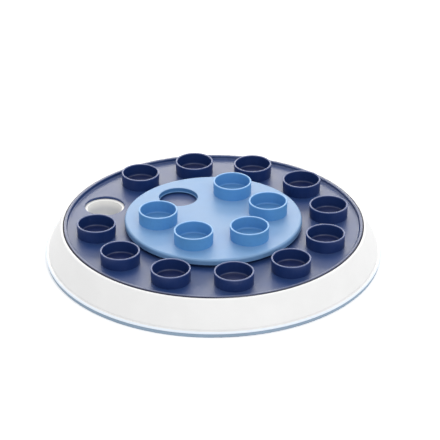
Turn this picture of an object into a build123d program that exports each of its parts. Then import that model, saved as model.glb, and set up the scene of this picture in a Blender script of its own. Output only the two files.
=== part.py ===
"""Two-level turning treat puzzle for dogs.

A white base holds a tray of treat wells.  A navy turntable with cups for handles covers the wells,
and a smaller light blue turntable does the same for the raised tray in the middle.  Each turntable
has one open hole, and turning it by its cups brings that hole over one well after another.

Millimetres.  The origin is on the floor under the middle of the board, and +Z is up.
"""

import math
import os

from build123d import *

# ------------------------------------------------------------------ driving dimensions
# Turntables, from the rim inwards
lower_radius = 125.3
lip_width = 2.9
lip_rounding = 0.95
lip_foot_rounding = 1.2
edge_to_outer_seat = 26.9
aisle = 8.35
edge_to_inner_seat = 27.6
outer_seats = 12
inner_seats = 6
index_angle = 9.65
open_outer_seat = 5
open_inner_seat = 2

# Heights, from the floor up
foot_height = 3.6
flange_height = 1.7
ledge_height = 21.5
tray_thickness = 2.0
tray_to_turntable = 0.4
lower_thickness = 1.9
lip_height = 2.95
housing_edge_rise = 2.1
centre_tray_height = 2.6
centre_tray_to_turntable = 2.5
upper_thickness = 2.6
upper_rim_height = 4.8

# Cups: a tapered wall on a spigot that presses into the turntable
cup_base_radius = 15.95
cup_rim_radius = 16.25
cup_wall = 1.45
cup_floor_rise = 0.65
cup_rim_rounding = 0.45
cup_floor_rounding = 1.5
lower_cup_height = 10.8
upper_cup_height = 11.3
spigot_radius = 15.2
spigot_clearance = 0.1

# Treat wells and the open holes that uncover them
well_radius = 14.6
well_depth = 17.0
well_wall = 1.8
well_draft = 5.0
well_floor_rounding = 6.0
well_rim_rounding = 0.8
bowl_clearance = 0.1
bowl_flange_width = 1.25
bowl_flange_thickness = 0.9
lower_hole_margin = 2.2
dish_depth = 1.3
dish_floor = 1.0
dish_draft = 25.0
dish_rim_rounding = 0.8
upper_hole_margin = 1.8
hole_rounding = 0.5
collar_depth = 1.3
collar_wall = 1.6
collar_lip_width = 0.6
collar_lip_thickness = 0.7
collar_lip_rounding = 0.3

# Housing
housing_gap = 0.65
housing_edge_width = 1.9
skirt_run = 10.73
skirt_wall = 2.4
skirt_edge_rounding = 1.6
heel_height = 1.2
flange_width = 2.2
flange_rounding = 1.0
flange_lower_rounding = 0.4
bowl_to_ledge = 1.25
ledge_thickness = 2.0
rib_thickness = 1.8
rib_foot_depth = 1.5
weld = 0.5
tray_edge_gap = 0.4
tray_rib_height = 5.0
tray_rib_thickness = 1.6

# Foot ring and the tongue that holds it in the flange
foot_inset = 0.7
foot_width = 6.3
foot_rounding = 0.8
tongue_inset = 3.4
tongue_width = 1.6
tongue_height = 0.8
tongue_clearance = 0.15

# Turning centre
post_radius = 14.0
spindle_radius = 9.0
running_clearance = 0.08
sleeve_wall = 3.0
sleeve_below_post = 1.2
shoulder_height = 0.75
shoulder_inset = 0.5
post_below_tray = 3.5
end_play = 0.3
glide_thickness = 0.9
glide_width = 11.6
glide_lift = 0.1
glide_clearance = 0.25
upper_glide_thickness = 0.8
upper_glide_lift = 0.15
centre_tray_edge_gap = 1.8
centre_tray_wall = 1.6
upper_rim_wall = 1.8
upper_edge_rounding = 2.0
peg_radius = 2.0
peg_inset = 9.0
peg_clearance = 0.1

# Fasteners
tray_screws_count = 6
screw_radius = 1.5
screw_head_radius = 3.2
screw_head_height = 2.4
screw_length = 6.0
screw_clearance = 0.3
screw_hole_end = 1.0
head_chamfer = 0.8
thread_clearance = 0.05
boss_radius = 4.0
boss_length = 7.5
boss_ring_inset = 24.1
arm_thickness = 2.0
arm_width = 9.0
pivot_screw_radius = 2.0
pivot_head_radius = 4.5
pivot_head_height = 3.0
pivot_screw_length = 11.0
washer_radius = 13.0
washer_thickness = 1.2
washer_hole_clearance = 0.2

# ------------------------------------------------------------------ levels and rings
flange_top = foot_height + flange_height
ledge_bottom = ledge_height - ledge_thickness
tray_top = ledge_height + tray_thickness
lower_bottom = tray_top + tray_to_turntable
lower_deck = lower_bottom + lower_thickness
lip_top = lower_deck + lip_height
housing_top = lower_deck + housing_edge_rise
centre_top = lower_deck + centre_tray_height
upper_bottom = centre_top + centre_tray_to_turntable
upper_deck = upper_bottom + upper_thickness
upper_rim_bottom = upper_deck - upper_rim_height
collar_bottom = upper_bottom - collar_depth
collar_lip_top = collar_bottom + collar_lip_thickness

outer_ring = lower_radius - edge_to_outer_seat
upper_radius = outer_ring - cup_base_radius - aisle
inner_ring = upper_radius - edge_to_inner_seat
centre_tray_radius = upper_radius - upper_rim_wall - centre_tray_edge_gap
housing_bore = lower_radius + housing_gap
bowl_radius = well_radius + well_wall
bowl_flange_radius = bowl_radius + bowl_flange_width
bowl_hole_radius = bowl_radius + bowl_clearance
bowl_rebate_radius = bowl_flange_radius + bowl_clearance
lower_hole_radius = well_radius + lower_hole_margin
upper_hole_radius = well_radius + upper_hole_margin
ledge_radius = outer_ring + bowl_rebate_radius + bowl_to_ledge
skirt_top_radius = housing_bore + housing_edge_width
skirt_foot_radius = skirt_top_radius + skirt_run
flange_radius = skirt_foot_radius + flange_width
foot_radius = flange_radius - foot_inset

post_bore = spindle_radius + running_clearance
sleeve_bore = post_radius + running_clearance
sleeve_radius = sleeve_bore + sleeve_wall
shoulder_bottom = upper_bottom - shoulder_height
post_top = shoulder_bottom - upper_glide_lift - upper_glide_thickness
post_bottom = ledge_height - post_below_tray
sleeve_top = post_top - sleeve_below_post
spindle_bottom = post_bottom - end_play
glide_top = lower_bottom - glide_lift
glide_seat = glide_top - glide_thickness
glide_inner = post_radius + glide_clearance
glide_outer = glide_inner + glide_width
peg_ring = centre_tray_radius - peg_inset

boss_ring = lower_radius - boss_ring_inset
boss_bottom = ledge_height - boss_length
arm_bottom = boss_bottom - arm_thickness
washer_bottom = spindle_bottom - washer_thickness

seat_step = 360 / outer_seats
outer_angles = [index_angle + seat_step * seat for seat in range(outer_seats)]
inner_angles = [index_angle + 360 / inner_seats * seat for seat in range(inner_seats)]
cup_angles = outer_angles[:open_outer_seat] + outer_angles[open_outer_seat + 1 :]
upper_cup_angles = inner_angles[:open_inner_seat] + inner_angles[open_inner_seat + 1 :]


def skirt_radius(height):
    """Outside radius of the sloping skirt at a height above the floor."""
    rise = (height - flange_top) / (housing_top - flange_top)
    return skirt_foot_radius - skirt_run * rise


def on_ring(radius, angle):
    """The point of a ring round the turning axis, as x and y."""
    turn = math.radians(angle)
    return radius * math.cos(turn), radius * math.sin(turn)


def radial_plane(angle):
    """Upright plane through the turning axis: local x runs outwards and local y up."""
    turn = math.radians(angle)
    return Plane(
        origin=(0, 0, 0),
        x_dir=(math.cos(turn), math.sin(turn), 0),
        z_dir=(math.sin(turn), -math.cos(turn), 0),
    )


def circles_at(edges, height, radius):
    """The circular edges of one radius that lie at one height."""
    level = edges.filter_by(GeomType.CIRCLE).filter_by_position(Axis.Z, height - 0.01, height + 0.01)
    return level.filter_by(lambda edge: abs(edge.radius - radius) < 0.01)


def write(piece, name):
    """Name a finished piece and write it as one STEP file."""
    piece.part.label = name
    export_step(piece.part, f"parts/{name}.step")


os.makedirs("parts", exist_ok=True)

# ------------------------------------------------------------------ base housing
with BuildPart() as base_housing:
    heel_top = flange_top + heel_height
    heel_radius = skirt_radius(heel_top)
    groove_outer = flange_radius - tongue_inset + tongue_clearance
    groove_inner = flange_radius - tongue_inset - tongue_width - tongue_clearance
    flange_inner = foot_radius - foot_width
    groove_top = foot_height + tongue_height + tongue_clearance
    with BuildSketch(Plane.XZ):
        with BuildLine():
            Polyline(
                (flange_radius, foot_height),
                (flange_radius, flange_top),
                (heel_radius, flange_top),
                (heel_radius, heel_top),
                (skirt_top_radius, housing_top),
                (housing_bore, housing_top),
                (housing_bore, ledge_height),
                (ledge_radius, ledge_height),
                (ledge_radius, ledge_bottom),
                (skirt_radius(ledge_bottom) - skirt_wall, ledge_bottom),
                (skirt_foot_radius - skirt_wall, flange_top),
                (flange_inner, flange_top),
                (flange_inner, foot_height),
                (groove_inner, foot_height),
                (groove_inner, groove_top),
                (groove_outer, groove_top),
                (groove_outer, foot_height),
                close=True,
            )
        make_face()
    revolve(axis=Axis.Z)
    fillet(circles_at(base_housing.edges(), housing_top, skirt_top_radius), skirt_edge_rounding)
    fillet(circles_at(base_housing.edges(), flange_top, flange_radius), flange_rounding)
    fillet(circles_at(base_housing.edges(), foot_height, flange_radius), flange_lower_rounding)

    # Ribs from the skirt to the ledge, one beside each well
    rib_angles = [angle + seat_step / 2 for angle in outer_angles]
    for angle in rib_angles:
        with BuildSketch(radial_plane(angle)):
            with BuildLine():
                Polyline(
                    (ledge_radius + weld, ledge_bottom + weld),
                    (ledge_radius + weld, ledge_bottom - rib_foot_depth),
                    (flange_inner + weld, flange_top - weld),
                    (skirt_foot_radius - skirt_wall / 2, flange_top - weld),
                    (skirt_radius(ledge_bottom) - skirt_wall / 2, ledge_bottom + weld),
                    close=True,
                )
            make_face()
        extrude(amount=rib_thickness / 2, both=True)

    # Arms that reach in under the tray's screw bosses
    arm_angles = rib_angles[:: outer_seats // tray_screws_count]
    arm_outer = skirt_radius(arm_bottom) - skirt_wall / 2
    with BuildSketch(Plane.XY.offset(arm_bottom)):
        with PolarLocations((arm_outer + boss_ring) / 2, tray_screws_count, arm_angles[0]):
            Rectangle(arm_outer - boss_ring, arm_width)
        with PolarLocations(boss_ring, tray_screws_count, arm_angles[0]):
            Circle(arm_width / 2)
            Circle(screw_radius + screw_clearance, mode=Mode.SUBTRACT)
    extrude(amount=arm_thickness)
write(base_housing, "base_housing")

# ------------------------------------------------------------------ foot ring
with BuildPart() as foot_ring:
    with BuildSketch(Plane.XZ):
        with BuildLine():
            Polyline(
                (foot_radius, 0),
                (foot_radius, foot_height),
                (flange_radius - tongue_inset, foot_height),
                (flange_radius - tongue_inset, foot_height + tongue_height),
                (flange_radius - tongue_inset - tongue_width, foot_height + tongue_height),
                (flange_radius - tongue_inset - tongue_width, foot_height),
                (foot_radius - foot_width, foot_height),
                (foot_radius - foot_width, 0),
                close=True,
            )
        make_face()
    revolve(axis=Axis.Z)
    fillet(circles_at(foot_ring.edges(), 0, foot_radius), foot_rounding)
write(foot_ring, "foot_ring")

# ------------------------------------------------------------------ treat tray
with BuildPart() as treat_tray:
    with BuildSketch(Plane.XZ):
        with BuildLine():
            Polyline(
                (post_bore, post_bottom),
                (post_radius, post_bottom),
                (post_radius, ledge_height),
                (housing_bore - tray_edge_gap, ledge_height),
                (housing_bore - tray_edge_gap, tray_top),
                (glide_outer + glide_clearance, tray_top),
                (glide_outer + glide_clearance, glide_seat),
                (post_radius, glide_seat),
                (post_radius, post_top),
                (post_bore, post_top),
                close=True,
            )
        make_face()
    revolve(axis=Axis.Z)

    # Round seats that the bowls drop into, each with a rebate for the bowl's flange
    with BuildSketch(Plane.XY.offset(ledge_height)):
        with PolarLocations(outer_ring, outer_seats, index_angle):
            Circle(bowl_hole_radius)
    extrude(amount=tray_thickness, mode=Mode.SUBTRACT)
    with BuildSketch(Plane.XY.offset(tray_top)):
        with PolarLocations(outer_ring, outer_seats, index_angle):
            Circle(bowl_rebate_radius)
    extrude(amount=-bowl_flange_thickness, mode=Mode.SUBTRACT)

    # Screw bosses between the wells
    with BuildSketch(Plane.XY.offset(ledge_height)):
        with PolarLocations(boss_ring, tray_screws_count, arm_angles[0]):
            Circle(boss_radius)
    extrude(amount=-boss_length)
    with BuildSketch(Plane.XY.offset(boss_bottom)):
        with PolarLocations(boss_ring, tray_screws_count, arm_angles[0]):
            Circle(screw_radius + thread_clearance)
    extrude(amount=screw_length - arm_thickness + screw_hole_end, mode=Mode.SUBTRACT)

    # Ribs under the tray, from the post out to each bowl
    rib_inner = post_radius - weld
    rib_outer = outer_ring - bowl_hole_radius - weld
    with BuildSketch(Plane.XY.offset(ledge_height + weld)):
        with PolarLocations((rib_inner + rib_outer) / 2, outer_seats, index_angle):
            Rectangle(rib_outer - rib_inner, tray_rib_thickness)
    extrude(amount=-tray_rib_height - weld)
write(treat_tray, "treat_tray")


# ------------------------------------------------------------------ treat bowls
def make_bowl(angle, name):
    """One treat well: an even-walled bowl that hangs from a flange in the tray's rebate."""
    x, y = on_ring(outer_ring, angle)
    foot_inside = well_radius - well_depth * math.tan(math.radians(well_draft))
    with BuildPart() as bowl:
        with BuildSketch(Plane(origin=(x, y, tray_top), x_dir=(1, 0, 0), z_dir=(0, -1, 0))):
            with BuildLine():
                Polyline(
                    (0, -well_depth),
                    (foot_inside, -well_depth),
                    (well_radius, 0),
                    (bowl_flange_radius, 0),
                    (bowl_flange_radius, -bowl_flange_thickness),
                    (bowl_radius, -bowl_flange_thickness),
                    (bowl_radius, -tray_thickness),
                    (foot_inside + well_wall, -well_depth - well_wall),
                    (0, -well_depth - well_wall),
                    close=True,
                )
            make_face()
        revolve(axis=Axis((x, y, 0), (0, 0, 1)))
        fillet(circles_at(bowl.edges(), tray_top - well_depth, foot_inside), well_floor_rounding)
        underside = tray_top - well_depth - well_wall
        outer_foot = circles_at(bowl.edges(), underside, foot_inside + well_wall)
        fillet(outer_foot, well_floor_rounding + well_wall)
        fillet(circles_at(bowl.edges(), tray_top, well_radius), well_rim_rounding)
    write(bowl, name)


for number, angle in enumerate(outer_angles, start=1):
    make_bowl(angle, f"treat_bowl_{number:02d}")

# ------------------------------------------------------------------ lower turntable
with BuildPart() as lower_turntable:
    lip_inner = lower_radius - lip_width
    with BuildSketch(Plane.XZ):
        with BuildLine():
            Polyline(
                (sleeve_bore, lower_bottom),
                (lower_radius, lower_bottom),
                (lower_radius, lip_top),
                (lip_inner, lip_top),
                (lip_inner, lower_deck),
                (sleeve_radius, lower_deck),
                (sleeve_radius, sleeve_top),
                (sleeve_bore, sleeve_top),
                close=True,
            )
        make_face()
    revolve(axis=Axis.Z)
    fillet(circles_at(lower_turntable.edges(), lip_top, lower_radius), lip_rounding)
    fillet(circles_at(lower_turntable.edges(), lip_top, lip_inner), lip_rounding)
    fillet(circles_at(lower_turntable.edges(), lower_deck, lip_inner), lip_foot_rounding)
    with BuildSketch(Plane.XY.offset(lower_bottom)):
        with Locations(*[on_ring(outer_ring, angle) for angle in cup_angles]):
            Circle(spigot_radius + spigot_clearance)
        with Locations(on_ring(outer_ring, outer_angles[open_outer_seat])):
            Circle(lower_hole_radius)
        with PolarLocations(peg_ring, inner_seats, index_angle + 180 / inner_seats):
            Circle(peg_radius + peg_clearance)
    extrude(amount=lower_thickness, mode=Mode.SUBTRACT)
    fillet(circles_at(lower_turntable.edges(), lower_deck, lower_hole_radius), hole_rounding)
write(lower_turntable, "lower_turntable")

# ------------------------------------------------------------------ raised centre tray
with BuildPart() as centre_treat_tray:
    top_underside = centre_top - centre_tray_wall
    with BuildSketch(Plane.XZ):
        with BuildLine():
            Polyline(
                (sleeve_radius + running_clearance, centre_top),
                (centre_tray_radius, centre_top),
                (centre_tray_radius, lower_deck),
                (centre_tray_radius - centre_tray_wall, lower_deck),
                (centre_tray_radius - centre_tray_wall, top_underside),
                (sleeve_radius + running_clearance, top_underside),
                close=True,
            )
        make_face()
    revolve(axis=Axis.Z)
    fillet(circles_at(centre_treat_tray.edges(), centre_top, centre_tray_radius), dish_rim_rounding)

    # A shallow dish under each cup, so that the open hole starts over a bare stretch
    dish_inset = dish_depth * math.tan(math.radians(dish_draft))
    dish_places = [on_ring(inner_ring, angle) for angle in upper_cup_angles]
    with BuildSketch(Plane.XY.offset(centre_top - dish_depth - dish_floor)):
        with Locations(*dish_places):
            Circle(well_radius - dish_inset + dish_floor)
    extrude(until=Until.NEXT)
    with BuildSketch(Plane.XY.offset(centre_top)):
        with Locations(*dish_places):
            Circle(well_radius)
    extrude(amount=-dish_depth, taper=dish_draft, mode=Mode.SUBTRACT)
    fillet(circles_at(centre_treat_tray.edges(), centre_top, well_radius), dish_rim_rounding)
    with BuildSketch(Plane.XY.offset(lower_bottom)):
        with PolarLocations(peg_ring, inner_seats, index_angle + 180 / inner_seats):
            Circle(peg_radius)
    extrude(amount=top_underside - lower_bottom)
write(centre_treat_tray, "centre_treat_tray")

# ------------------------------------------------------------------ upper turntable
with BuildPart() as upper_turntable:
    rim_inner = upper_radius - upper_rim_wall
    with BuildSketch(Plane.XZ):
        with BuildLine():
            Polyline(
                (0, upper_deck),
                (0, spindle_bottom),
                (spindle_radius, spindle_bottom),
                (spindle_radius, shoulder_bottom),
                (post_radius - shoulder_inset, shoulder_bottom),
                (post_radius - shoulder_inset, upper_bottom),
                (rim_inner, upper_bottom),
                (rim_inner, upper_rim_bottom),
                (upper_radius, upper_rim_bottom),
                (upper_radius, upper_deck),
                close=True,
            )
        make_face()
    revolve(axis=Axis.Z)
    fillet(circles_at(upper_turntable.edges(), upper_deck, upper_radius), upper_edge_rounding)
    with BuildSketch(Plane.XY.offset(upper_bottom)):
        with Locations(*[on_ring(inner_ring, angle) for angle in upper_cup_angles]):
            Circle(spigot_radius + spigot_clearance)
    extrude(amount=upper_thickness, mode=Mode.SUBTRACT)

    # The open hole, with a collar under it and a small lip inside the collar's foot
    open_place = on_ring(inner_ring, inner_angles[open_inner_seat])
    lip_hole_radius = upper_hole_radius - collar_lip_width
    with BuildSketch(Plane.XY.offset(collar_bottom)):
        with Locations(open_place):
            Circle(upper_hole_radius + collar_wall)
    extrude(amount=collar_depth)
    with BuildSketch(Plane.XY.offset(collar_bottom)):
        with Locations(open_place):
            Circle(lip_hole_radius)
    extrude(amount=collar_lip_thickness, mode=Mode.SUBTRACT)
    with BuildSketch(Plane.XY.offset(collar_lip_top)):
        with Locations(open_place):
            Circle(upper_hole_radius)
    extrude(amount=upper_deck - collar_lip_top, mode=Mode.SUBTRACT)
    fillet(circles_at(upper_turntable.edges(), upper_deck, upper_hole_radius), hole_rounding)
    fillet(circles_at(upper_turntable.edges(), collar_lip_top, lip_hole_radius), collar_lip_rounding)
    with BuildSketch(Plane.XY.offset(spindle_bottom)):
        Circle(pivot_screw_radius + thread_clearance)
    extrude(amount=pivot_screw_length - washer_thickness + screw_hole_end, mode=Mode.SUBTRACT)
write(upper_turntable, "upper_turntable")


# ------------------------------------------------------------------ cups
def make_cup(ring, angle, deck, plate, height, name):
    """One round cup: tapered wall, rounded rim, and a spigot that fills its seat."""
    x, y = on_ring(ring, angle)
    floor_top = cup_floor_rise
    with BuildPart() as cup:
        with BuildSketch(Plane(origin=(x, y, deck), x_dir=(1, 0, 0), z_dir=(0, -1, 0))):
            with BuildLine():
                Polyline(
                    (0, floor_top),
                    (cup_base_radius - cup_wall, floor_top),
                    (cup_rim_radius - cup_wall, height),
                    (cup_rim_radius, height),
                    (cup_base_radius, 0),
                    (spigot_radius, 0),
                    (spigot_radius, -plate),
                    (0, -plate),
                    close=True,
                )
            make_face()
        revolve(axis=Axis((x, y, 0), (0, 0, 1)))
        rims = cup.edges().filter_by(GeomType.CIRCLE).group_by(Axis.Z)[-1]
        fillet(rims, cup_rim_rounding)
        inner_foot = circles_at(cup.edges(), deck + floor_top, cup_base_radius - cup_wall)
        fillet(inner_foot, cup_floor_rounding)
    write(cup, name)


for number, angle in enumerate(cup_angles, start=1):
    name = f"lower_cup_{number:02d}"
    make_cup(outer_ring, angle, lower_deck, lower_thickness, lower_cup_height, name)
for number, angle in enumerate(upper_cup_angles, start=1):
    name = f"upper_cup_{number:02d}"
    make_cup(inner_ring, angle, upper_deck, upper_thickness, upper_cup_height, name)

# ------------------------------------------------------------------ glide washers
with BuildPart() as lower_glide_washer:
    with BuildSketch(Plane.XY.offset(glide_seat)):
        Circle(glide_outer)
        Circle(glide_inner, mode=Mode.SUBTRACT)
    extrude(amount=glide_thickness)
write(lower_glide_washer, "lower_glide_washer")

with BuildPart() as upper_glide_washer:
    with BuildSketch(Plane.XY.offset(post_top)):
        Circle(post_radius - shoulder_inset / 2)
        Circle(spindle_radius + glide_clearance, mode=Mode.SUBTRACT)
    extrude(amount=upper_glide_thickness)
write(upper_glide_washer, "upper_glide_washer")

# ------------------------------------------------------------------ retaining washer and screws
with BuildPart() as retaining_washer:
    with BuildSketch(Plane.XY.offset(washer_bottom)):
        Circle(washer_radius)
        Circle(pivot_screw_radius + washer_hole_clearance, mode=Mode.SUBTRACT)
    extrude(amount=washer_thickness)
write(retaining_washer, "retaining_washer")

with BuildPart() as pivot_screw:
    with BuildSketch(Plane.XY.offset(washer_bottom)):
        Circle(pivot_head_radius)
    extrude(amount=-pivot_head_height)
    chamfer(pivot_screw.edges().group_by(Axis.Z)[0], head_chamfer)
    with BuildSketch(Plane.XY.offset(washer_bottom)):
        Circle(pivot_screw_radius)
    extrude(amount=pivot_screw_length)
write(pivot_screw, "pivot_screw")

with BuildPart() as tray_screws:
    with BuildSketch(Plane.XY.offset(arm_bottom - screw_head_height)):
        with PolarLocations(boss_ring, tray_screws_count, arm_angles[0]):
            Circle(screw_head_radius)
    extrude(amount=screw_head_height)
    chamfer(tray_screws.edges().group_by(Axis.Z)[0], head_chamfer)
    with BuildSketch(Plane.XY.offset(arm_bottom)):
        with PolarLocations(boss_ring, tray_screws_count, arm_angles[0]):
            Circle(screw_radius)
    extrude(amount=screw_length)
write(tray_screws, "tray_screws")
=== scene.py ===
"""Finishes, light and camera for the two-level turning treat puzzle.

Metres, in the frame of the construction: the origin is on the floor under the middle of the board
and +Z is up.  Every piece keeps its own shape from the construction and gets its finish here.
"""

import math

import bpy
import numpy as np
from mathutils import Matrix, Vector


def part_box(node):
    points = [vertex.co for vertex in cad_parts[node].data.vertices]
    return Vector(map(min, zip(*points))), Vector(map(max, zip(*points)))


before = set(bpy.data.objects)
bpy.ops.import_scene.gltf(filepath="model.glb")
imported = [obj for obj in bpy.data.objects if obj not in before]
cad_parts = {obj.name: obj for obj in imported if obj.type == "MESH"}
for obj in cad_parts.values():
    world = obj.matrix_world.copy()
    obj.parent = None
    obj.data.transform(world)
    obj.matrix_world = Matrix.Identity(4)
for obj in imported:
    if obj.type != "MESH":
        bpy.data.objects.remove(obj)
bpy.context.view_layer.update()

MM = 0.001

# ------------------------------------------------------------------ colours, as display values
NAVY = (19, 46, 101)
# The navy disc and the centre tray are paler than the navy cups of the same plastic: part of their
# sheen is painted into the colour.
NAVY_DISC_WITH_SHEEN = (33, 61, 114)
# These are the pale of rubs, and also a painted highlight along the cup rims and the top of the
# disc's lip.
NAVY_WORN_AND_HIGHLIGHT = (92, 106, 150)
NAVY_LIP_HIGHLIGHT_AND_WORN = (84, 93, 124)
# Painted shade on the navy disc's outer edge, where it meets the white shell.
NAVY_EDGE_SHADE = (18, 27, 62)
# Painted shade on the navy cups' floors.
NAVY_FLOOR_SHADE = (16, 33, 82)
LIGHT_BLUE = (87, 150, 208)
# Paler than the light blue cups of the same plastic: part of the disc's sheen is painted into the
# colour.
LIGHT_BLUE_DISC_WITH_SHEEN = (113, 156, 201)
LIGHT_BLUE_WORN_AND_HIGHLIGHT = (150, 195, 240)
# Painted shade: on the wall of the upper disc's treat hole, and on the light blue cups' floors.
LIGHT_BLUE_BORE_SHADE = (72, 124, 176)
LIGHT_BLUE_FLOOR_SHADE = (78, 132, 183)
WHITE = (237, 237, 237)
# The bowls are painted: a bright rim as painted highlight, and a grey below it as painted shade
# that deepens down the bowl.
BOWL_PAINTED_SHADE = (213, 214, 216)
BOWL_RIM_HIGHLIGHT_AND_WORN = (250, 249, 245)
WHITE_WORN = (250, 251, 253)
WHITE_FLANGE = (231, 240, 251)
FOOT_BLUE = (146, 168, 190)
FOOT_BLUE_WORN = (176, 194, 210)
NATURAL = (226, 224, 214)
ZINC = (196, 198, 204)
DUST_GREY = (214, 214, 212)
FLOOR_WHITE = (236, 236, 236)

# ------------------------------------------------------------------ where painted shade, painted highlights and the flange's tint start
UPPER_BORE_SHADE_REACH = 68 * MM  # from the axis: the treat hole's wall inside it gets painted shade, the rim does not
CUP_FLOOR_SHADE_DROP = 3 * MM  # a cup's floor more than this below the cup's top gets painted shade
CUP_FLOOR_POLISH = 0.12
DISC_EDGE_SHADE_START = 0.85 * MM  # these four are measured inwards from the piece's edge: painted shade on the disc's edge, a tint on the flange
DISC_EDGE_SHADE_FULL = 0.5 * MM
FLANGE_START = 1.4 * MM
FLANGE_FULL = 0.8 * MM
HIGHLIGHT_FULL = 0.15  # the share of a painted rim highlight's reach that is at its full tone

# ------------------------------------------------------------------ skin and marks of a moulding
GRAIN_SHARE = 0.7
WAVE_SHARE = 0.3
WAVE_SIZE = 7 * MM
FLOW_SIZE = 26 * MM
FLOW_WARP_SCALE = 22.0
FLOW_WARP_REACH = 12 * MM
FLOW_ROUGHENS = 0.05
RUB_SPACING = 38 * MM
RUB_AMOUNT = 0.35
RUB_LENGTH = 9 * MM
RUB_STRETCH = 14.0
RUB_TURNS = (0.5, 2.1)
RUB_ROUGHENS = 0.12
RUB_PALES = 0.25
SPECK_SIZE = 0.9 * MM
FILM_SIZE = 30 * MM
FILM_SHARE = 0.25
DUST_ROUGHENS = 0.4

# ------------------------------------------------------------------ zinc plate
ZINC_FLOW_SIZE = 4 * MM
ZINC_RUB_SPACING = 6 * MM
ZINC_RUB_AMOUNT = 0.8
ZINC_GRAIN = 0.12 * MM
ZINC_WAVE = 2 * MM
ZINC_GRAIN_DEPTH = 0.006 * MM
ZINC_DULL = 0.9
ZINC_ROUGHNESS = 0.28
ZINC_FLOW_ROUGHENS = 0.1
ZINC_RUB_ROUGHENS = 0.15

# ------------------------------------------------------------------ camera and studio
VIEW_ELEVATION = math.radians(28.17)
VIEW_DISTANCE = 1.9555
VIEW_CENTRE = Vector((0.0, 0.0, 36.6 * MM))
AIM_RIGHT = 5.57 * MM
AIM_DOWN = 5.46 * MM
LENS = 191.6
CLIP_END = 30.0
FILL_LIGHT = 0.84
BACKDROP = 1.0
LAMP_AIM = (0.0, 0.0, 0.03)
SHEEN_COLOUR = (1.0, 0.965, 0.91)
FLOOR_GLOW = 0.35
FLOOR_RADIUS = 6.0
FLOOR_DROP = 0.02 * MM
FLOOR_UNDER_FOOT = 1.4 * MM
FLOOR_SIDES = 128


def linear(colour):
    """A colour written as 0-255 display values, as linear light with full alpha."""
    shares = [value / 255 for value in colour]
    light = [s / 12.92 if s <= 0.04045 else ((s + 0.055) / 1.055) ** 2.4 for s in shares]
    return (*light, 1.0)


# ------------------------------------------------------------------ node helpers
def feed(tree, socket, value):
    """Links a socket to an input, or sets the input to a plain value."""
    if isinstance(value, bpy.types.NodeSocket):
        tree.links.new(value, socket)
    else:
        socket.default_value = value


def put(tree, kind, inputs=None, **settings):
    """A new shader node.  Its inputs are given by name or number, as plain values or sockets."""
    made = tree.nodes.new("ShaderNode" + kind)
    for name, value in settings.items():
        setattr(made, name, value)
    for key, value in (inputs or {}).items():
        feed(tree, made.inputs[key], value)
    return made


def math_node(tree, operation, *values, clamp=False):
    """The output socket of one Math node."""
    made = put(tree, "Math", dict(enumerate(values)), operation=operation, use_clamp=clamp)
    return made.outputs[0]


def blend_colour(tree, share, first, second):
    """The output socket of a colour mix: first where share is 0 and second where it is 1."""
    inputs = {"Factor": share, 6: first, 7: second}
    return put(tree, "Mix", inputs, data_type="RGBA").outputs[2]


def smooth_band(tree, value, low, high):
    """0 where value is under low, 1 over high, and an S curve between them."""
    inputs = {"Value": value, "From Min": low, "From Max": high}
    return put(tree, "MapRange", inputs, interpolation_type="SMOOTHSTEP").outputs["Result"]


def noise(tree, vector, size, detail, roughness=0.5):
    """Noise between about 0 and 1 whose blobs are about size across."""
    scale = math_node(tree, "DIVIDE", 1.0, size)
    inputs = {"Vector": vector, "Scale": scale, "Detail": detail, "Roughness": roughness}
    return put(tree, "TexNoise", inputs).outputs["Fac"]


def new_group(name, inputs, output):
    """An empty shader node group that gives one number, with its input and output sockets."""
    tree = bpy.data.node_groups.new(name, "ShaderNodeTree")
    for socket, kind in inputs:
        tree.interface.new_socket(socket, in_out="INPUT", socket_type="NodeSocket" + kind)
    tree.interface.new_socket(output, in_out="OUTPUT", socket_type="NodeSocketFloat")
    given = tree.nodes.new("NodeGroupInput").outputs
    return tree, given, tree.nodes.new("NodeGroupOutput").inputs[output]


def use_group(tree, group, inputs):
    """The output socket of a node group placed in a tree."""
    placed = tree.nodes.new("ShaderNodeGroup")
    placed.node_tree = group
    for key, value in inputs.items():
        feed(tree, placed.inputs[key], value)
    return placed.outputs[0]


# ------------------------------------------------------------------ effects that finishes share
def make_moulded_skin():
    """Height of a moulded skin: mostly spark-eroded grain, and some slow shrinkage waves."""
    tree, given, result = new_group(
        "moulded_skin",
        [("Vector", "Vector"), ("Grain Size", "Float"), ("Wave Size", "Float")],
        "Height",
    )
    grain = noise(tree, given["Vector"], given["Grain Size"], detail=3.0, roughness=0.6)
    wave = noise(tree, given["Vector"], given["Wave Size"], detail=1.0)
    fine = math_node(tree, "MULTIPLY", grain, GRAIN_SHARE)
    tree.links.new(math_node(tree, "MULTIPLY_ADD", wave, WAVE_SHARE, fine), result)
    return tree


def make_flow_marks():
    """Clouds that the melt leaves in the gloss as it fills the mould: noise on a warped place."""
    tree, given, result = new_group(
        "flow_marks",
        [("Vector", "Vector"), ("Size", "Float")],
        "Flow",
    )
    inputs = {"Vector": given["Vector"], "Scale": FLOW_WARP_SCALE, "Detail": 1.0}
    warp = put(tree, "TexNoise", inputs).outputs["Color"]
    offset = put(tree, "VectorMath", {0: warp, 1: (0.5, 0.5, 0.5)}, operation="SUBTRACT")
    inputs = {0: offset.outputs[0], "Scale": FLOW_WARP_REACH}
    shift = put(tree, "VectorMath", inputs, operation="SCALE")
    moved = put(tree, "VectorMath", {0: given["Vector"], 1: shift.outputs[0]}, operation="ADD")
    clouds = noise(tree, moved.outputs[0], given["Size"], detail=4.0, roughness=0.55)
    tree.links.new(smooth_band(tree, clouds, low=0.35, high=0.68), result)
    return tree


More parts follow.
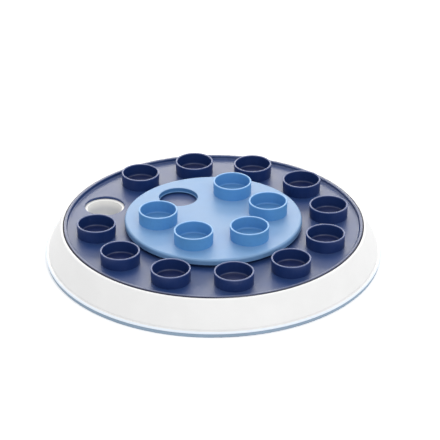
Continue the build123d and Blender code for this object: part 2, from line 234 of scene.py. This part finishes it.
def make_rubs():
    """Hairline rubs: noise drawn out to streaks in two directions, kept in scattered patches."""
    tree, given, result = new_group(
        "rubs",
        [("Vector", "Vector"), ("Spacing", "Float"), ("Amount", "Float")],
        "Rubs",
    )
    spread = noise(tree, given["Vector"], given["Spacing"], detail=2.0)
    patch = smooth_band(tree, spread, low=0.5, high=0.72)
    streaks = []
    for turn in RUB_TURNS:
        stretch = {"Rotation": (0.0, 0.0, turn), "Scale": (1.0, RUB_STRETCH, 1.0)}
        turned = put(tree, "Mapping", {"Vector": given["Vector"], **stretch}).outputs[0]
        line = noise(tree, turned, RUB_LENGTH, detail=2.0, roughness=0.7)
        streaks.append(smooth_band(tree, line, low=0.62, high=0.7))
    kept = math_node(tree, "MULTIPLY", math_node(tree, "MAXIMUM", *streaks), patch)
    tree.links.new(math_node(tree, "MULTIPLY", kept, given["Amount"]), result)
    return tree


def make_dust():
    """Fine dust, specks and a thin film, on what faces up."""
    tree, given, result = new_group(
        "dust",
        [("Vector", "Vector"), ("Facing Up", "Float"), ("Amount", "Float")],
        "Dust",
    )
    specks = noise(tree, given["Vector"], SPECK_SIZE, detail=2.0, roughness=0.8)
    specks = smooth_band(tree, specks, low=0.7, high=0.78)
    film = smooth_band(tree, noise(tree, given["Vector"], FILM_SIZE, detail=3.0), 0.35, 0.8)
    both = math_node(tree, "MULTIPLY_ADD", film, FILM_SHARE, specks)
    up = smooth_band(tree, given["Facing Up"], low=0.3, high=0.95)
    share = math_node(tree, "MULTIPLY", both, up)
    tree.links.new(math_node(tree, "MULTIPLY", share, given["Amount"], clamp=True), result)
    return tree


SKIN = make_moulded_skin()
FLOW = make_flow_marks()
RUBS = make_rubs()
DUST = make_dust()


# ------------------------------------------------------------------ masks by place
def axis_distance(tree, place):
    """How far a point is from the turning axis."""
    level = put(tree, "VectorMath", {0: place, 1: (1.0, 1.0, 0.0)}, operation="MULTIPLY")
    return put(tree, "VectorMath", {0: level.outputs[0]}, operation="LENGTH").outputs["Value"]


def outer_ring(tree, place, facing, start, full):
    """0 nearer the axis than start, 1 beyond full, whichever way the surface faces."""
    return smooth_band(tree, axis_distance(tree, place), start, full)


def inner_walls(tree, place, facing, reach):
    """1 on walls that stand up nearer the axis than reach."""
    within = smooth_band(tree, axis_distance(tree, place), reach + 1 * MM, reach)
    return math_node(tree, "MULTIPLY", within, smooth_band(tree, facing, 0.9, 0.35))


def low_floor(tree, place, facing, top):
    """1 on what faces up and lies lower than a height."""
    height = put(tree, "SeparateXYZ", {0: place}).outputs["Z"]
    low = smooth_band(tree, height, top + 0.5 * MM, top)
    return math_node(tree, "MULTIPLY", low, smooth_band(tree, facing, 0.5, 0.9))


# ------------------------------------------------------------------ finishes
def new_finish(name):
    """An empty material with its Principled BSDF, object coordinates and upward facing."""
    material = bpy.data.materials.new(name)
    material.use_nodes = True
    tree = material.node_tree
    tree.nodes.clear()
    shader = tree.nodes.new("ShaderNodeBsdfPrincipled")
    output = tree.nodes.new("ShaderNodeOutputMaterial")
    tree.links.new(shader.outputs[0], output.inputs["Surface"])
    place = tree.nodes.new("ShaderNodeTexCoord").outputs["Object"]
    normal = tree.nodes.new("ShaderNodeNewGeometry").outputs["Normal"]
    facing = put(tree, "SeparateXYZ", {0: normal}).outputs["Z"]
    return material, tree, shader, place, facing


def roughen_skin(tree, shader, place, grain, wave, depth):
    """Gives a shader the fine bumps of a moulded or plated skin."""
    height = use_group(tree, SKIN, {"Vector": place, "Grain Size": grain, "Wave Size": wave})
    bump = put(tree, "Bump", {"Height": height, "Distance": depth, "Strength": 1.0})
    tree.links.new(bump.outputs[0], shader.inputs["Normal"])


def moulded_plastic(name, colour, worn_and_highlight, roughness, highlight_top=None, highlight_reach=0.9 * MM,
                    highlight_share=0.8, grain=0.45 * MM, grain_depth=0.012 * MM, clouding=0.035,
                    dust=0.12, index=1.5, shade_and_tints=()):
    """A satin moulding: flow clouds and rubs change its gloss, dust and a painted highlight along
    a rim its colour.

    The last argument lists the places with another tone, painted shade on cup floors, the disc's
    edge and the treat hole's wall, or the flange's own tint: a mask function, its sizes, the
    colour there, and how much more polished the place is.
    """
    material, tree, shader, place, facing = new_finish(name)
    flow = use_group(tree, FLOW, {"Vector": place, "Size": FLOW_SIZE})
    rubs = use_group(tree, RUBS, {"Vector": place, "Spacing": RUB_SPACING, "Amount": RUB_AMOUNT})
    specks = use_group(tree, DUST, {"Vector": place, "Facing Up": facing, "Amount": dust})

    deep = linear([channel * (1 - clouding) for channel in colour])
    tint = blend_colour(tree, flow, deep, linear(colour))
    clouded = math_node(tree, "MULTIPLY_ADD", flow, FLOW_ROUGHENS, roughness)
    rough = math_node(tree, "MULTIPLY_ADD", rubs, RUB_ROUGHENS, clouded)
    tint = blend_colour(tree, math_node(tree, "MULTIPLY", rubs, RUB_PALES), tint, linear(worn_and_highlight))
    # Painted highlight: the colour pales towards the top of a rim or lip; in the bowls this is the
    # lit rim above painted shade.
    if highlight_top is not None:
        height = put(tree, "SeparateXYZ", {0: place}).outputs["Z"]
        rim = smooth_band(tree, height, highlight_top - highlight_reach, highlight_top - highlight_reach * HIGHLIGHT_FULL)
        tint = blend_colour(tree, math_node(tree, "MULTIPLY", rim, highlight_share), tint, linear(worn_and_highlight))
    # Painted shade on cup floors, the disc's edge and the treat hole's wall, and the flange's own
    # tint.
    for make_mask, sizes, tone_colour, polish in shade_and_tints:
        mask = make_mask(tree, place, facing, **sizes)
        tint = blend_colour(tree, mask, tint, linear(tone_colour))
        rough = math_node(tree, "MULTIPLY_ADD", mask, -polish, rough)
    tint = blend_colour(tree, specks, tint, linear(DUST_GREY))
    rough = math_node(tree, "MULTIPLY_ADD", specks, DUST_ROUGHENS, rough, clamp=True)
    tree.links.new(tint, shader.inputs["Base Color"])
    tree.links.new(rough, shader.inputs["Roughness"])
    roughen_skin(tree, shader, place, grain, WAVE_SIZE, grain_depth)
    shader.inputs["IOR"].default_value = index
    return material


def zinc_plate():
    """Bright zinc on steel: a cloudy passivated tone, fine rubs and a fine grain."""
    material, tree, shader, place, facing = new_finish("zinc_plate")
    flow = use_group(tree, FLOW, {"Vector": place, "Size": ZINC_FLOW_SIZE})
    sizes = {"Spacing": ZINC_RUB_SPACING, "Amount": ZINC_RUB_AMOUNT}
    rubs = use_group(tree, RUBS, {"Vector": place, **sizes})
    dull = linear([channel * ZINC_DULL for channel in ZINC])
    tint = blend_colour(tree, flow, dull, linear(ZINC))
    rough = math_node(tree, "MULTIPLY_ADD", flow, ZINC_FLOW_ROUGHENS, ZINC_ROUGHNESS)
    rough = math_node(tree, "MULTIPLY_ADD", rubs, ZINC_RUB_ROUGHENS, rough)
    tree.links.new(tint, shader.inputs["Base Color"])
    tree.links.new(rough, shader.inputs["Roughness"])
    roughen_skin(tree, shader, place, ZINC_GRAIN, ZINC_WAVE, ZINC_GRAIN_DEPTH)
    shader.inputs["Metallic"].default_value = 1.0
    return material


def top_of(node):
    """The height of the highest point of a piece."""
    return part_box(node)[1].z


def named(prefix):
    """The pieces whose names start with a prefix."""
    return sorted(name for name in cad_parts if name.startswith(prefix))


def dress(nodes, material):
    """Gives pieces one finish in every one of their material slots."""
    for name in nodes:
        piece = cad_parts[name]
        if not piece.material_slots:
            piece.data.materials.append(material)
        for slot in piece.material_slots:
            slot.material = material


def dress_navy_pieces():
    """The lower turntable with painted shade on its outer edge and a painted highlight on its lip,
    its cups and the centre tray.
    """
    top = top_of("lower_cup_01")
    # Painted shade on the cup floors and a painted highlight along the cup rims.
    floor_shade = (low_floor, {"top": top - CUP_FLOOR_SHADE_DROP}, NAVY_FLOOR_SHADE, CUP_FLOOR_POLISH)
    cup = moulded_plastic(
        "navy_cup", NAVY, NAVY_WORN_AND_HIGHLIGHT, roughness=0.4, highlight_top=top, shade_and_tints=[floor_shade]
    )
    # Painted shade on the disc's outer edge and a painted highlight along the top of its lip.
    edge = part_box("lower_turntable")[1].x
    ring = {"start": edge - DISC_EDGE_SHADE_START, "full": edge - DISC_EDGE_SHADE_FULL}
    disc = moulded_plastic(
        "navy_disc", NAVY_DISC_WITH_SHEEN, NAVY_LIP_HIGHLIGHT_AND_WORN, roughness=0.38, highlight_top=top_of("lower_turntable"),
        highlight_reach=0.35 * MM, highlight_share=0.45, grain=0.6 * MM, index=1.57,
        shade_and_tints=[(outer_ring, ring, NAVY_EDGE_SHADE, 0.0)],
    )
    tray = moulded_plastic("navy_tray", NAVY_DISC_WITH_SHEEN, NAVY_WORN_AND_HIGHLIGHT, roughness=0.38, index=1.57)
    dress(["lower_turntable"], disc)
    dress(["centre_treat_tray"], tray)
    dress(named("lower_cup"), cup)


def dress_light_blue_pieces():
    """The upper turntable with painted shade on the walls of its treat hole, and its cups."""
    top = top_of("upper_cup_01")
    # Painted shade on the cup floors and a painted highlight along the cup rims.
    floor_shade = (low_floor, {"top": top - CUP_FLOOR_SHADE_DROP}, LIGHT_BLUE_FLOOR_SHADE, 0.0)
    cup = moulded_plastic(
        "blue_cup", LIGHT_BLUE, LIGHT_BLUE_WORN_AND_HIGHLIGHT, roughness=0.5, highlight_top=top, shade_and_tints=[floor_shade]
    )
    # Painted shade on the treat hole's wall; the disc's colour holds part of its sheen.
    disc = moulded_plastic(
        "blue_disc", LIGHT_BLUE_DISC_WITH_SHEEN, LIGHT_BLUE_WORN_AND_HIGHLIGHT, roughness=0.44, grain=0.6 * MM, index=1.57,
        shade_and_tints=[(inner_walls, {"reach": UPPER_BORE_SHADE_REACH}, LIGHT_BLUE_BORE_SHADE, 0.0)],
    )
    dress(["upper_turntable"], disc)
    dress(named("upper_cup"), cup)


def dress_base_pieces():
    """The white shell, tray and bowls, the rubber foot, the glide washers and the steel."""
    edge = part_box("base_housing")[1].x
    flange = {"start": edge - FLANGE_START, "full": edge - FLANGE_FULL}
    shell = moulded_plastic(
        "white_shell", WHITE, WHITE_WORN, roughness=0.38, grain_depth=0.005 * MM, clouding=0.012,
        dust=0.03, shade_and_tints=[(outer_ring, flange, WHITE_FLANGE, 0.0)],
    )
    # Painted shade and highlight: the bowls are paler at the rim and darker with depth.
    bowl = moulded_plastic(
        "white_bowl", BOWL_PAINTED_SHADE, BOWL_RIM_HIGHLIGHT_AND_WORN, roughness=0.38, highlight_top=top_of("treat_bowl_01"),
        highlight_reach=8.5 * MM, highlight_share=1.0, grain_depth=0.005 * MM, clouding=0.02, dust=0.05,
    )
    foot = moulded_plastic(
        "foot_rubber", FOOT_BLUE, FOOT_BLUE_WORN, roughness=0.55, grain=0.3 * MM, dust=0.05
    )
    glide = moulded_plastic("glide_plastic", NATURAL, WHITE_WORN, roughness=0.4, dust=0.0)
    dress(["base_housing", "treat_tray"], shell)
    dress(named("treat_bowl"), bowl)
    dress(["foot_ring"], foot)
    dress(["lower_glide_washer", "upper_glide_washer"], glide)
    dress(["retaining_washer", "pivot_screw", "tray_screws"], zinc_plate())


# ------------------------------------------------------------------ studio
def seen_ray(tree):
    """1 for rays that show the backdrop itself: camera, glossy and transmission rays."""
    rays = tree.nodes.new("ShaderNodeLightPath").outputs
    either = math_node(tree, "MAXIMUM", rays["Is Camera Ray"], rays["Is Glossy Ray"])
    return math_node(tree, "MAXIMUM", either, rays["Is Transmission Ray"])


def light_studio():
    """A white room: an even fill from all round that looks white wherever it is seen."""
    world = bpy.data.worlds.new("studio")
    bpy.context.scene.world = world
    world.use_nodes = True
    tree = world.node_tree
    tree.nodes.clear()
    white = (BACKDROP, BACKDROP, BACKDROP, 1.0)
    fill = (FILL_LIGHT, FILL_LIGHT, FILL_LIGHT, 1.0)
    colour = blend_colour(tree, seen_ray(tree), fill, white)
    background = put(tree, "Background", {"Color": colour, "Strength": 1.0})
    output = tree.nodes.new("ShaderNodeOutputWorld")
    tree.links.new(background.outputs[0], output.inputs["Surface"])


def softbox(name, place, width, height, power):
    """A rectangular soft light at place that faces the board."""
    lamp = bpy.data.lights.new(name, "AREA")
    lamp.shape = "RECTANGLE"
    lamp.size = width
    lamp.size_y = height
    lamp.energy = power
    holder = bpy.data.objects.new(name, lamp)
    holder.location = place
    direction = Vector(LAMP_AIM) - Vector(place)
    holder.rotation_euler = direction.to_track_quat("-Z", "Y").to_euler()
    holder.visible_camera = False
    bpy.context.scene.collection.objects.link(holder)
    return holder


def place_lights():
    """Two warm softboxes behind that only give sheen, a top light and a weak key at the front."""
    back = softbox("back_softbox", (0.0, 2.2, 0.82), width=2.4, height=0.5, power=25.0)
    glow = softbox("glow_softbox", (0.0, 1.6, 2.0), width=3.0, height=2.0, power=12.0)
    for light in (back, glow):
        light.visible_diffuse = False
        light.data.color = SHEEN_COLOUR
    softbox("top_softbox", (0.0, 1.2, 1.7), width=1.8, height=0.9, power=8.0)
    softbox("key_softbox", (0.8, -1.4, 1.9), width=1.2, height=1.2, power=13.0)


def floor_finish():
    """Pale, white where nothing shades it, and clear when seen from below."""
    material = bpy.data.materials.new("pale_floor")
    material.use_nodes = True
    tree = material.node_tree
    tree.nodes.clear()
    matt = put(tree, "BsdfDiffuse", {"Color": linear(FLOOR_WHITE)}).outputs[0]
    glow = put(tree, "Emission", {"Color": (1.0, 1.0, 1.0, 1.0), "Strength": FLOOR_GLOW})
    shown = put(tree, "AddShader", {0: matt, 1: glow.outputs[0]}).outputs[0]
    above = put(tree, "MixShader", {0: seen_ray(tree), 1: matt, 2: shown}).outputs[0]
    clear = tree.nodes.new("ShaderNodeBsdfTransparent").outputs[0]
    under = tree.nodes.new("ShaderNodeNewGeometry").outputs["Backfacing"]
    sided = put(tree, "MixShader", {0: under, 1: above, 2: clear})
    output = tree.nodes.new("ShaderNodeOutputMaterial")
    tree.links.new(sided.outputs[0], output.inputs["Surface"])
    return material


def lay_floor():
    """A flat ring from under the foot outwards, so the room's light reaches the underside too."""
    turns = np.linspace(0.0, 2.0 * np.pi, FLOOR_SIDES, endpoint=False)
    circle = np.column_stack([np.cos(turns), np.sin(turns)])
    open_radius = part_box("foot_ring")[1].x - FLOOR_UNDER_FOOT
    level = np.concatenate([circle * open_radius, circle * FLOOR_RADIUS])
    points = np.column_stack([level, np.full(len(level), -FLOOR_DROP)])
    inner = np.arange(FLOOR_SIDES)
    after = (inner + 1) % FLOOR_SIDES
    faces = np.column_stack([inner, inner + FLOOR_SIDES, after + FLOOR_SIDES, after])
    mesh = bpy.data.meshes.new("floor")
    mesh.from_pydata(points.tolist(), [], faces.tolist())
    mesh.materials.append(floor_finish())
    floor = bpy.data.objects.new("floor", mesh)
    bpy.context.scene.collection.objects.link(floor)


def place_camera():
    """The camera looks along +Y and down at the board from VIEW_DISTANCE."""
    data = bpy.data.cameras.new("camera")
    data.lens = LENS
    data.clip_end = CLIP_END
    camera = bpy.data.objects.new("camera", data)
    back = Vector((0.0, -math.cos(VIEW_ELEVATION), math.sin(VIEW_ELEVATION)))
    up = Vector((0.0, math.sin(VIEW_ELEVATION), math.cos(VIEW_ELEVATION)))
    camera.location = VIEW_CENTRE + back * VIEW_DISTANCE
    aim = VIEW_CENTRE + Vector((AIM_RIGHT, 0.0, 0.0)) - up * AIM_DOWN
    camera.rotation_euler = (aim - camera.location).to_track_quat("-Z", "Y").to_euler()
    bpy.context.scene.collection.objects.link(camera)
    bpy.context.scene.camera = camera


dress_navy_pieces()
dress_light_blue_pieces()
dress_base_pieces()
light_studio()
place_lights()
lay_floor()
place_camera()
bpy.context.scene.view_settings.view_transform = "Standard"
